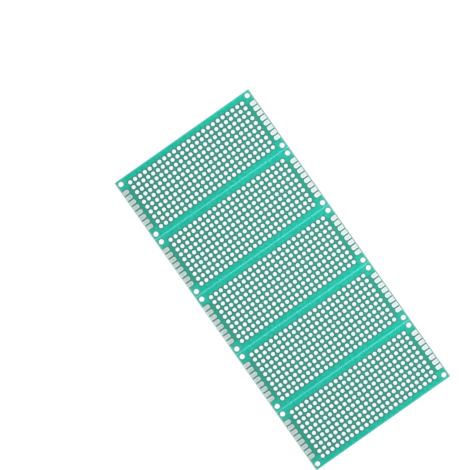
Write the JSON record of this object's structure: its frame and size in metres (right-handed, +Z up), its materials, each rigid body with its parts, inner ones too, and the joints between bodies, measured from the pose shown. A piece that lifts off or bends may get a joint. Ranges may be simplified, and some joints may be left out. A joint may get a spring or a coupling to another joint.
{
  "type": "prototype board",
  "caption": "Panel of double-sided prototype boards with grids of plated lead holes, edge pads and corner holes, joined along V-scored lines.",
  "frame": {"origin": "centre of the panel, on the plane of the pads on its underside", "axes": "+X along the panel's 150 mm length, across the boards; +Y along the 70 mm length of each board; +Z up, out of the top face"},
  "size_m": [0.15, 0.07, 0.0017],
  "materials": {
    "laminate": "matte",
    "solder_mask": "gloss",
    "tinned_copper": "satin"
  },
  "bodies": {
    "root": {"laminate": "laminate", "solder_mask_top_1": "solder_mask", "solder_mask_top_2": "solder_mask", "solder_mask_top_3": "solder_mask", "solder_mask_top_4": "solder_mask", "solder_mask_top_5": "solder_mask", "solder_mask_bottom_1": "solder_mask", "solder_mask_bottom_2": "solder_mask", "solder_mask_bottom_3": "solder_mask", "solder_mask_bottom_4": "solder_mask", "solder_mask_bottom_5": "solder_mask", "hole_plating_1": "tinned_copper", "hole_plating_2": "tinned_copper", "hole_plating_3": "tinned_copper", "hole_plating_4": "tinned_copper", "hole_plating_5": "tinned_copper", "edge_pads_left_1": "tinned_copper", "edge_pads_left_2": "tinned_copper", "edge_pads_left_3": "tinned_copper", "edge_pads_left_4": "tinned_copper", "edge_pads_left_5": "tinned_copper", "edge_pads_right_1": "tinned_copper", "edge_pads_right_2": "tinned_copper", "edge_pads_right_3": "tinned_copper", "edge_pads_right_4": "tinned_copper", "edge_pads_right_5": "tinned_copper"}
  },
  "joints": []
}
